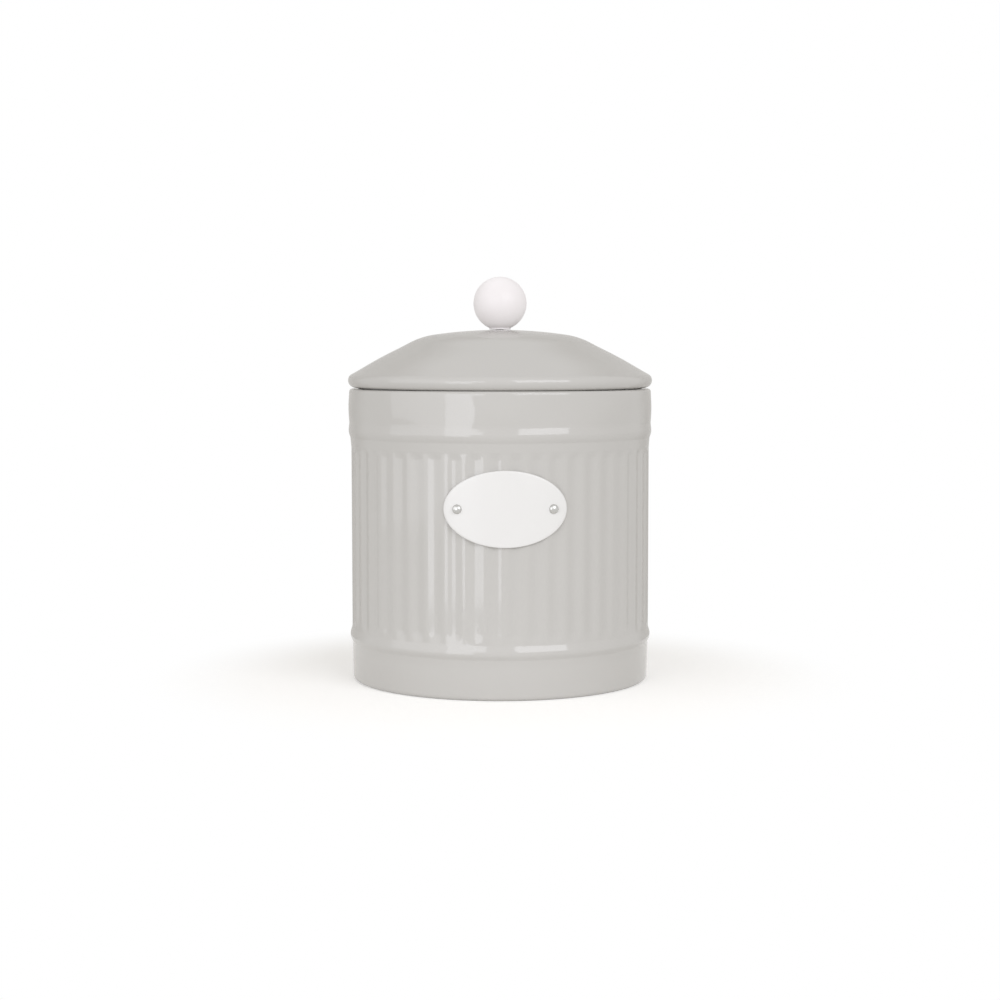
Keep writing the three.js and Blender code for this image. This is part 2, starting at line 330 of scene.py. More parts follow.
def empty_tree(holder: Union[bpy.types.Material, bpy.types.World]) -> Tree:
    """Gives a material or a world its nodes and clears them.

    Args:
        holder: the material or the world.

    Returns:
        Its empty node tree.
    """
    holder.use_nodes = True
    holder.node_tree.nodes.clear()
    return holder.node_tree


def add_node(
    tree: Tree,
    kind: str,
    inputs: Optional[dict[Union[str, int], Value]] = None,
    **settings: Any,
) -> bpy.types.Node:
    """Adds a shader node.

    Args:
        tree: where it goes.
        kind: the node's type.
        inputs: a value, or a socket to link, for each input by name or number.
        settings: the node's own properties.

    Returns:
        The new node.
    """
    node = tree.nodes.new(kind)
    for name, setting in settings.items():
        setattr(node, name, setting)
    for name, value in (inputs or {}).items():
        if isinstance(value, Socket):
            tree.links.new(value, node.inputs[name])
        else:
            node.inputs[name].default_value = value
    return node


@dataclass(frozen=True)
class Pattern:
    """A noise on the surface: the spacing of its spots, and how far they are drawn out upwards."""

    spacing: float
    detail: float  # how many octaves of finer spots come on top
    drawn_out: float = 1.0

    def values(self, tree: Tree, place: Socket) -> Socket:
        """Adds the noise to a material.

        Args:
            tree: the material's nodes.
            place: object coordinates.

        Returns:
            The socket with the noise.
        """
        if self.drawn_out > 1:
            scale = (1.0, 1.0, 1 / self.drawn_out)
            place = add_node(tree, "ShaderNodeMapping", {"Vector": place, "Scale": scale}).outputs[0]
        inputs = {"Vector": place, "Scale": 1 / (self.spacing * MM), "Detail": self.detail}
        return add_node(tree, "ShaderNodeTexNoise", inputs).outputs[0]


@dataclass(frozen=True)
class Finish:
    """A surface: its material's name, its colour in two tones, its gloss, its relief and its optics."""

    name: str
    slot: Slot
    colour: str
    other_tone: str
    roughness: float
    gloss_spread: float  # how far the roughness strays, as a share of itself
    relief: float  # how deep the texture is
    texture: Pattern  # what the gloss and the relief follow
    clouds: Optional[Pattern] = None  # what the tone follows, where that isn't the texture
    ior: float = 1.5
    metallic: float = 0.0
    matt: float = 0.0  # how evenly the colour under the gloss spreads light

    def shader(self, tree: Tree, place: Socket) -> bpy.types.Node:
        """Two tones, a gloss and a relief that follow the finish's patterns.

        Args:
            tree: the material's nodes.
            place: object coordinates.

        Returns:
            The shader node.
        """
        texture = self.texture.values(tree, place)
        tone = self.clouds.values(tree, place) if self.clouds else texture
        tones = {0: tone, 6: linear(self.colour), 7: linear(self.other_tone)}
        gloss = self.roughness
        if self.gloss_spread > 0:
            glossiest = (1 - self.gloss_spread) * self.roughness
            dullest = (1 + self.gloss_spread) * self.roughness
            gloss = add_node(tree, "ShaderNodeMapRange", {0: texture, 3: glossiest, 4: dullest}).outputs[0]
        relief = {"Height": texture, "Strength": 1.0, "Distance": self.relief * MM}
        inputs = {
            "Base Color": add_node(tree, "ShaderNodeMix", tones, data_type="RGBA").outputs[2],
            "Roughness": gloss,
            "Normal": add_node(tree, "ShaderNodeBump", relief).outputs[0],
            "Metallic": self.metallic,
            "Diffuse Roughness": self.matt,
        }
        if self.metallic == 0:
            inputs["IOR"] = self.ior  # a metal keeps the shader's own
        return add_node(tree, "ShaderNodeBsdfPrincipled", inputs)

    def material(self) -> bpy.types.Material:
        """The material of this finish, made once.

        Returns:
            The Blender material.
        """
        made = bpy.data.materials.get(self.name)
        if made is None:
            made = bpy.data.materials.new(self.name)
            tree = empty_tree(made)
            place = add_node(tree, "ShaderNodeTexCoord").outputs["Object"]
            shader = self.shader(tree, place)
            add_node(tree, "ShaderNodeOutputMaterial", {"Surface": shader.outputs["BSDF"]})
            made.diffuse_color = linear(self.colour)
        return made

    def dress(self, piece: Piece, body: Body, *nodes: str) -> None:
        """Gives a piece this finish, its body and the solids that it stands for.

        Args:
            piece: the new object.
            body: the body that it moves with.
            nodes: the names of the solids that it replaces.
        """
        piece.data.materials.clear()
        piece.data.materials.append(self.material())
        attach(piece, body.value)
        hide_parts(*nodes)
        log.info("%s: %d faces, %s, on %s", piece.name, len(piece.data.polygons), self.name, body.value)


# Sprayed and stoved enamel on steel: a wet gloss over one even colour. Reflections keep their edges but
# waver a little, because the coat dries with orange peel, and its thickness shifts the tone by a hair.
GREY_ENAMEL = Finish(
    name="grey_stoved_enamel",
    slot=Slot.GREY_COAT,
    colour="#c5c3bf",
    other_tone="#c8c6c2",
    roughness=0.07,
    gloss_spread=0.15,
    relief=0.004,
    texture=Pattern(spacing=2.2, detail=1.0),
    clouds=Pattern(spacing=30.0, detail=2.0),
)
# Fired enamel on steel: a smooth white with a soft sheen and the same slight peel.
WHITE_ENAMEL = Finish(
    name="white_fired_enamel",
    slot=Slot.WHITE_ENAMEL,
    colour="#e8e7e5",
    other_tone="#ebeae8",
    roughness=0.34,
    gloss_spread=0.15,
    relief=0.003,
    texture=Pattern(spacing=1.6, detail=1.0),
    clouds=Pattern(spacing=12.0, detail=2.0),
)
# White lacquer on turned beech: a satin white, with the wood's fine grain just showing as shallow lines.
WHITE_LACQUER = Finish(
    name="white_lacquered_beech",
    slot=Slot.WHITE_LACQUER,
    colour="#f5f2f2",
    other_tone="#f2eeee",
    roughness=0.42,
    gloss_spread=0.1,
    relief=0.006,
    texture=Pattern(spacing=0.6, detail=3.0, drawn_out=10.0),
    ior=1.47,
    matt=0.7,
)
# Nickel plate: clear reflections in the metal's colour, broken by fine marks that change their gloss.
NICKEL = Finish(
    name="bright_nickel_plate",
    slot=Slot.BRIGHT_STEEL,
    colour="#c8c7c4",
    other_tone="#bbbab6",
    roughness=0.28,
    gloss_spread=0.3,
    relief=0.002,
    texture=Pattern(spacing=0.5, detail=4.0),
    metallic=1.0,
)
# Zinc plate on turned steel: a bluish metal, duller than the nickel.
ZINC = Finish(
    name="zinc_plated_steel",
    slot=Slot.ZINC_STEEL,
    colour="#c2c6ca",
    other_tone="#a9adb1",
    roughness=0.36,
    gloss_spread=0.3,
    relief=0.003,
    texture=Pattern(spacing=0.7, detail=4.0),
    metallic=1.0,
)
# Turned brass: a warm metal with the fine marks of the lathe.
BRASS = Finish(
    name="turned_brass",
    slot=Slot.BRASS,
    colour="#d0ad60",
    other_tone="#bf9a4c",
    roughness=0.28,
    gloss_spread=0.3,
    relief=0.003,
    texture=Pattern(spacing=0.4, detail=4.0),
    metallic=1.0,
)
# Moulded silicone rubber: dark and nearly matt, with a bloom of lighter dust in its fine grain.
SILICONE = Finish(
    name="moulded_silicone",
    slot=Slot.DARK_SILICONE,
    colour="#3a3a3b",
    other_tone="#464647",
    roughness=0.62,
    gloss_spread=0.0,
    relief=0.004,
    texture=Pattern(spacing=0.5, detail=3.0),
    ior=1.41,
)


# The object's sub-assemblies


@dataclass
class FlutedBody:
    """The tin's body: one rolled sheet with its hem, beads, flutes, collar and rim, and the base in it."""

    sheet: float = 0.6
    wall_radius: float = 70.2
    foot_taper: float = 0.5
    foot_round: float = 1.6
    hem_width: float = 3.0
    hem_guard: float = 0.2  # a row this far from a bend keeps the flat beside it flat
    bead_crest: float = 20.9
    bead_below: float = 3.0  # from the crest to the bead's lower edge
    bead_above: float = 4.0  # and to its upper edge
    bead_rise: float = 0.9
    bead_fullness: float = 1.4  # a power above 1 runs the bead's edges out into the sheet
    flutes: int = 48
    flute_depth: float = 0.64
    flute_bottom: float = 24.2
    flute_top: float = 110.5
    flute_run_out: float = 6.0
    flute_run_in: float = 4.0
    flare_start: float = 109.5  # from here the wall flares out to the collar
    flare: float = 0.4
    collar_height: float = 22.9  # from the collar's lower edge to the rim
    collar_crest: float = 3.6  # from that edge up to the crest of the collar's bead
    collar_waist: float = 6.9  # and up to where the bead's flank ends
    collar_bead_rise: float = 0.36
    collar_step: float = 0.88  # how far the collar stands out at its waist
    collar_top_step: float = 0.85  # and at its top
    collar_belly: float = 0.21
    rim_round: float = 1.4
    rim_width: float = 4.55
    rim_drop: float = 0.1  # how far the rim sinks
    rim_spring: float = 0.15  # how much less it sinks at the front and the back, and more at the sides
    lip_round: float = 1.0
    lip_depth: float = 5.2
    bend_guard: float = 0.3  # the same, under the collar and at the lip
    waver: float = 0.09  # how far the rolled sheet strays from a true round
    waves_round: int = 5
    wave_turn: float = 0.9  # in radians
    wave_length: float = 260.0
    wave_start: float = 0.6  # in radians
    collar_waver: float = 0.2  # how far the collar strays on top of that
    collar_waves_round: int = 9
    collar_wave_turn: float = 1.9  # in radians
    collar_wave_length: float = 26.0
    collar_middle: float = 128.0
    calm_foot: float = 12.0  # over this height the stiff foot keeps the waves down
    calm_rim: float = 6.0  # and so does the rim
    base_gap: float = 0.3
    base_flange: float = 7.0
    base_bend: float = 0.9
    panel_rise: float = 0.9
    panel_slope: float = 2.0
    panel_margin: float = 8.0
    columns_per_flute: int = 12
    base_columns: int = 144

    @property
    def height(self) -> float:
        """The height of the rim, from the frame."""
        return float(box_mm("body_wall")[1][2])

    @property
    def collar_bottom(self) -> float:
        """The height of the collar's lower edge."""
        return self.height - self.collar_height

    def outside(self, z: np.ndarray) -> np.ndarray:
        """The wall's outer radius over its height, before the flutes.

        A cylinder, less a taper below the lower bead, plus that bead, which is cos(pi/2 d/reach) to the
        power bead_fullness, plus a flare below the collar, plus a collar that swells as half a sine and
        draws in to the rim. The collar's own bead steps out as 1 - (1 - t)^2, so that it turns in
        sharply at its foot, and has a straight flank above.

        Args:
            z: heights.

        Returns:
            Radii.
        """
        waist = self.collar_bottom + self.collar_waist
        crest = self.collar_bottom + self.collar_crest
        taper = self.foot_taper * (1 - ramp(z, 0, self.bead_crest - self.bead_below))
        reach = np.where(z < self.bead_crest, self.bead_below, self.bead_above)
        off_crest = np.clip((z - self.bead_crest) / reach, -1, 1)
        lower = self.bead_rise * np.cos(np.pi / 2 * off_crest) ** self.bead_fullness
        flare = self.flare * ramp(z, self.flare_start, self.collar_bottom)
        flank = self.collar_bead_rise * (1 - ramp(z, crest, waist))
        to_crest = 1 - ramp(z, self.collar_bottom, crest)
        step = (self.collar_step - self.flare + flank) * (1 - to_crest**2)
        up_collar = ramp(z, waist, self.height - self.rim_round)
        draw_in = (self.collar_step - self.collar_top_step) * up_collar
        belly = self.collar_belly * np.sin(np.pi * up_collar)
        return self.wall_radius - taper + lower + flare + step - draw_in + belly

    def press(self, angle: np.ndarray, z: np.ndarray) -> np.ndarray:
        """What the flutes and the sheet's waver add to the radius.

        A flute is a cosine round the wall, with a rib's crest at the front, and runs out smoothly at
        both ends. The waver is a product of slow waves round and up the wall. On the collar, where no
        flute stiffens the sheet, shorter waves come on top.

        Args:
            angle: round the axis, in radians from the front.
            z: heights.

        Returns:
            Shifts of the radius.
        """
        from_bottom = (z - self.flute_bottom) / self.flute_run_out
        from_top = (self.flute_top - z) / self.flute_run_in
        depth = self.flute_depth * smooth(np.minimum(from_bottom, from_top))
        groove = (1 - np.cos(self.flutes * angle)) / 2
        up_wall = 2 * np.pi * z / self.wave_length + self.wave_start
        long_wave = np.sin(self.waves_round * angle + self.wave_turn) * np.sin(up_wall)
        up_collar = 2 * np.pi * (z - self.collar_middle) / self.collar_wave_length
        short_wave = np.sin(self.collar_waves_round * angle + self.collar_wave_turn) * np.cos(up_collar)
        on_collar = smooth((z - self.collar_bottom) / self.collar_waist)
        calm = smooth(np.minimum(z / self.calm_foot, (self.height - z) / self.calm_rim))
        waves = self.waver * long_wave + self.collar_waver * on_collar * short_wave
        return calm * waves - depth * groove

    def wall_path(self) -> np.ndarray:
        """The outer face of the sheet, from the hem under the foot to the lip inside the mouth.

        Returns:
            Rows of (radius, height).
        """
        standing = self.wall_radius - self.foot_taper - self.foot_round
        rim_radius = self.wall_radius + self.collar_top_step
        mouth = rim_radius - self.rim_width
        # Where the section changes, each with the number of steps up to the next
        stops = [
            (self.foot_round, 4),
            (self.bead_crest - self.bead_below, 9),
            (self.bead_crest, 6),
            (self.flute_bottom, 4),
            (self.bead_crest + self.bead_above, 8),
            (self.flute_bottom + self.flute_run_out, 11),
            (self.flute_top - self.flute_run_in, 6),
            (self.flare_start, 4),
            (self.flute_top, 5),
            (self.collar_bottom - self.bend_guard, 1),
            (self.collar_bottom, 9),
            (self.collar_bottom + self.collar_crest, 9),
            (self.collar_bottom + self.collar_waist, 10),
            (self.height - self.rim_round, 0),
        ]
        heights = np.concatenate(
            [
                np.linspace(low, high, steps, endpoint=False)
                for (low, steps), (high, _) in zip(stops[:-1], stops[1:])
            ]
        )
        rim_centre = (rim_radius - self.rim_round, self.height - self.rim_round)
        lip_centre = (mouth + self.lip_round, self.height - self.lip_round)
        return joined(
            [[standing - self.hem_width, 0], [standing - self.hem_guard, 0]],
            arc((standing, self.foot_round), self.foot_round, -90, 0, steps=6),
            np.column_stack([self.outside(heights), heights]),
            arc(rim_centre, self.rim_round, 0, 90, steps=6),
            arc(lip_centre, self.lip_round, 90, 180, steps=5),
            [[mouth, lip_centre[1] - self.bend_guard], [mouth, self.height - self.lip_depth]],
        )

    def make_wall(self) -> Piece:
        """The rolled sheet, turned round the axis, pressed into flutes and sprung a little at the rim.

        The collar sinks by rim_drop - rim_spring cos(2a), which widens the lid's seam at the sides.

        Returns:
            The wall's object.
        """
        section = sheet_section(self.wall_path(), self.sheet, thin_out=2)
        columns = self.flutes * self.columns_per_flute
        grid = revolved(section, columns, self.press)
        sunk = self.rim_drop - self.rim_spring * np.cos(2 * all_round(columns))
        grid[..., 2] -= sunk * smooth((grid[..., 2] - self.collar_bottom) / self.collar_height)
        return make_piece("fluted_wall", grid, loop=True)

    def make_base(self) -> Piece:
        """The pressed dish that closes the tin, with a raised panel and a flange up the wall.

        Returns:
            The base's object.
        """
        outside = self.wall_radius - self.foot_taper - self.sheet - self.base_gap
        bottom = self.sheet + self.base_gap
        panel_foot = outside - self.panel_margin
        corners = [
            [0, bottom + self.panel_rise],
            [panel_foot - self.panel_slope, bottom + self.panel_rise],
            [panel_foot, bottom],
            [outside, bottom],
            [outside, bottom + self.base_flange],
        ]
        section = sheet_section(eased(corners, self.base_bend), self.sheet)
        return make_piece("dished_base", revolved(section, self.base_columns), loop=False)

    def build(self, drills: Callable[[], list[Piece]]) -> None:
        """Builds and dresses the wall and the base.

        Args:
            drills: makes the drills for the plate's rivets.
        """
        wall = self.make_wall()
        drill(wall, drills())
        GREY_ENAMEL.dress(wall, Body.TIN, "body_wall")
        GREY_ENAMEL.dress(self.make_base(), Body.TIN, "base_plate")


@dataclass
class OvalPlate:
    """The blank oval plate on the front of the wall, and its two rivets."""

    width: float = 54.6
    height: float = 34.1
    back_radius: float = 70.4
    face_radius: float = 71.55
    edge_round: float = 0.5
    dome: float = 0.2
    edge_columns: int = 192
    edge_rings: int = 7
    face_rings: int = 22
    shank_radius: float = 1.2
    hole_play: float = 0.15
    drill_overrun: float = 2.0
    drill_columns: int = 24
    head_radius: float = 2.1
    head_height: float = 1.35
    head_edge: float = 0.1  # the chamfer under the head's rim
    tail_radius: float = 1.9
    tail_height: float = 0.8
    tail_top: float = 68.5
    tail_bend: float = 0.25
    rivet_columns: int = 48

    @property
    def middle(self) -> float:
        """The height of the plate's centre, from the frame."""
        low, high = box_mm("oval_plate")
        return float(low[2] + high[2]) / 2

    def rivet_angle(self, side: Side) -> float:
        """The angle from the front to a rivet, from the frame.

        Args:
            side: which rivet.

        Returns:
            The angle in radians.
        """
        low, high = box_mm("plate_rivet_right")
        x, y, _ = (low + high) / 2
        return side.value * math.atan2(x, -y)

    def make_plate(self) -> Piece:
        """The plate: an oval seen from the front, bent to the wall's round and domed a little.

        Rings of the oval shrink from its edge to its centre, behind and in front. A ring's points stand at
        a distance from the tin's axis, so y = -sqrt(distance^2 - x^2). The edge is half a circle, and
        there the ring is set in along the oval's normal.

        Returns:
            The plate's object.
        """
        turn = all_round(self.edge_columns)
        half_width, half_height = self.width / 2, self.height / 2
        edge_x, edge_z = half_width * np.cos(turn), half_height * np.sin(turn)
        normal_x, normal_z = half_height * np.cos(turn), half_width * np.sin(turn)
        length = np.hypot(normal_x, normal_z)
        inwards = np.linspace(1, 0, self.face_rings)
        bend = np.radians(np.linspace(-90, 90, self.edge_rings + 2)[1:-1])
        thickness = self.face_radius - self.back_radius
        size = np.concatenate([inwards[::-1], np.ones(self.edge_rings), inwards])
        face_inset = np.full(self.face_rings, self.edge_round)
        inset = np.concatenate([face_inset, self.edge_round * (1 - np.cos(bend)), face_inset])
        back_lift = np.zeros(self.face_rings)
        edge_lift = thickness / 2 * (1 + np.sin(bend))
        face_lift = thickness + self.dome * (1 - inwards**2)
        x = (edge_x - inset * normal_x / length) * size
        z = (edge_z - inset * normal_z / length) * size
        distance = self.back_radius + np.concatenate([back_lift, edge_lift, face_lift])
        y = -np.sqrt(distance**2 - x**2)
        return make_piece("oval_enamel_plate", np.stack([x, y, z + self.middle], axis=-1), loop=False)

    def stand_out(self, section: np.ndarray, angle: float, columns: int) -> np.ndarray:
        """Turns a section about a line square to the wall, with its heights as distances from the tin's axis.

        Args:
            section: rows of (radius, distance).
            angle: of the line, in radians from the front.
            columns: how many copies of the section stand round the line.

        Returns:
            A grid of points.
        """
        across, up, along = np.moveaxis(revolved(section, columns), -1, 0)
        x = along * math.sin(angle) + across * math.cos(angle)
        y = -along * math.cos(angle) + across * math.sin(angle)
        return np.stack([x, y, up + self.middle], axis=-1)

    def make_drills(self) -> list[Piece]:
        """Rods for the two rivet holes, through the plate and the wall.

        Returns:
            The rods' objects.
        """
        radius = self.shank_radius + self.hole_play
        inside = self.tail_top - self.drill_overrun
        beyond = self.face_radius + self.drill_overrun
        section = np.array([[0, inside], [radius, inside], [radius, beyond], [0, beyond]])
        return [
            make_piece(
                f"drill_{side.word}",
                self.stand_out(section, self.rivet_angle(side), self.drill_columns),
                loop=False,
            )
            for side in Side
        ]

    def make_rivet(self, side: Side) -> Piece:
        """A domed rivet: half an ellipse for the head, a shank, and an upset tail inside the wall.

        Args:
            side: which rivet.

        Returns:
            The rivet's object.
        """
        head_bottom = self.face_radius + self.dome / 2
        tail_bottom = self.tail_top - self.tail_height
        corners = [
            [0, tail_bottom],
            [self.tail_radius, tail_bottom],
            [self.tail_radius, self.tail_top],
            [self.shank_radius, self.tail_top],
            [self.shank_radius, head_bottom],
        ]
        dome = arc((0, 0), 1, 0, 90, steps=12) * [self.head_radius, self.head_height]
        section = joined(
            eased(corners, self.tail_bend, steps=4),
            [[self.head_radius - self.head_edge, head_bottom]],
            dome + [0, head_bottom + self.head_edge],
        )
        section[-1, 0] = 0
        grid = self.stand_out(section, self.rivet_angle(side), self.rivet_columns)
        return make_piece(f"domed_rivet_{side.word}", grid, loop=False)

    def build(self) -> None:
        """Builds and dresses the plate and its rivets."""
        plate = self.make_plate()
        drill(plate, self.make_drills())
        WHITE_ENAMEL.dress(plate, Body.TIN, "oval_plate")
        for side in Side:
            NICKEL.dress(self.make_rivet(side), Body.TIN, f"plate_rivet_{side.word}")


@dataclass
class DomedLid:
    """The lid: its pressed shell, the plug ring under it and the seal in the plug's groove."""

    sheet: float = 0.6
    radius: float = 71.55
    roll: float = 3.2
    cone: float = 28.4
    cone_swell: float = 0.35
    cone_margin: float = 0.02  # share of the cone at either end that has no row of its own
    cone_rows: int = 16
    hem_dip: float = 0.35  # how far the hem hangs lower at the front
    hem_margin: float = 0.1  # the flat hem stops this far short of the roll
    hem_rows: int = 3
    shoulder_arc: float = 36.0
    crown_arc: float = 215.0
    crown_edge: float = 8.3
    screw_hole: float = 2.3
    plug_radius: float = 65.3
    plug_depth: float = 10.6
    plug_hem: float = 3.0
    plug_flange: float = 3.0
    plug_gap: float = 0.3
    plug_bend: float = 0.35
    groove_drop: float = 2.1
    groove_height: float = 4.0
    groove_depth: float = 1.5
    groove_slope: float = 0.5
    seal_inside: float = 64.1
    seal_outside: float = 66.2
    seal_half: float = 1.2
    columns: int = 240

    @property
    def hem(self) -> float:
        """The height of the lid's underside, from the frame."""
        return float(box_mm("lid_shell")[0][2])

    @property
    def top(self) -> float:
        """The height of the crown at the screw hole."""
        return self.hem + float(self.shell_path()[-1, 1])

    def shell_path(self) -> np.ndarray:
        """The shell's outer face: a flat hem, a rolled edge, a cone, a rounded shoulder and a shallow crown.

        The cone touches the roll and the shoulder, and the shoulder touches the crown, so each arc's
        centre follows from the slope where they meet. The cone swells by cone_swell sin^2(pi t).

        Returns:
            Rows of (radius, height), with the height counted from the hem.
        """
        cone, edge = math.radians(self.cone), math.radians(self.crown_edge)
        roll_centre = self.radius - self.roll
        cone_end = roll_centre + self.roll * math.sin(cone)
        shoulder = (self.crown_arc - self.shoulder_arc) * math.sin(edge)
        cone_start = shoulder + self.shoulder_arc * math.sin(cone)
        drop = (cone_end - cone_start) * math.tan(cone)
        shoulder_height = self.roll * (1 + math.cos(cone)) + drop - self.shoulder_arc * math.cos(cone)
        crown_height = shoulder_height - (self.crown_arc - self.shoulder_arc) * math.cos(edge)
        hole = math.degrees(math.asin(self.screw_hole / self.crown_arc))
        slope, rise = 90 - self.cone, 90 - self.crown_edge
        hem = np.linspace(self.plug_radius + self.plug_gap, roll_centre - self.hem_margin, self.hem_rows)
        roll = arc((roll_centre, self.roll), self.roll, -90, slope, steps=20)
        turn = arc((shoulder, shoulder_height), self.shoulder_arc, slope, rise, steps=14)
        t = np.linspace(self.cone_margin, 1 - self.cone_margin, self.cone_rows)[:, None]
        swell = self.cone_swell * np.sin(np.pi * t) ** 2 * np.array([math.sin(cone), math.cos(cone)])
        return joined(
            np.column_stack([hem, 0 * hem]),
            roll,
            roll[-1] + (turn[0] - roll[-1]) * t + swell,
            turn,
            arc((0, crown_height), self.crown_arc, rise, 90 - hole, steps=16),
        )

    def make_shell(self) -> Piece:
        """The shell's sheet, turned round the axis, with a hem that hangs lower by hem_dip (1 + cos a) / 2.

        Returns:
            The shell's object.
        """
        section = sheet_section(self.shell_path(), self.sheet) + [0, self.hem]
        grid = revolved(section, self.columns)
        dip = self.hem_dip * (1 + np.cos(all_round(self.columns))) / 2
        grid[..., 2] -= dip * smooth(1 - (grid[..., 2] - self.hem) / self.roll)
        return make_piece("domed_shell", grid, loop=True)

    def make_plug(self) -> Piece:
        """The plug: a ring of sheet with a groove, turned in below and turned out above the shell's hem.

        Returns:
            The plug's object.
        """
        flange = self.sheet + self.plug_gap
        groove_floor = self.plug_radius - self.groove_depth
        groove_bottom = -self.groove_drop - self.groove_height
        corners = [
            [self.plug_radius - self.plug_hem, -self.plug_depth],
            [self.plug_radius, -self.plug_depth],
            [self.plug_radius, groove_bottom],
            [groove_floor, groove_bottom + self.groove_slope],
            [groove_floor, -self.groove_drop - self.groove_slope],
            [self.plug_radius, -self.groove_drop],
            [self.plug_radius, flange],
            [self.plug_radius + self.plug_flange, flange],
        ]
        section = sheet_section(eased(corners, self.plug_bend), self.sheet) + [0, self.hem]
        return make_piece("plug_ring", revolved(section, self.columns), loop=True)

    def make_seal(self) -> Piece:
        """The seal: a ring whose section is a D, with its round side towards the mouth.

        Returns:
            The seal's object.
        """
        middle = -self.groove_drop - self.groove_height / 2
        section = joined(
            [[self.seal_inside, middle - self.seal_half]],
            arc((self.seal_outside - self.seal_half, middle), self.seal_half, -90, 90, steps=14),
            [[self.seal_inside, middle + self.seal_half]],
        )
        return make_piece("seal_ring", revolved(section + [0, self.hem], self.columns), loop=True)

    def build(self) -> None:
        """Builds and dresses the shell, the plug and the seal."""
        GREY_ENAMEL.dress(self.make_shell(), Body.LID, "lid_shell")
        GREY_ENAMEL.dress(self.make_plug(), Body.LID, "lid_plug")
        SILICONE.dress(self.make_seal(), Body.SEAL, "lid_seal")


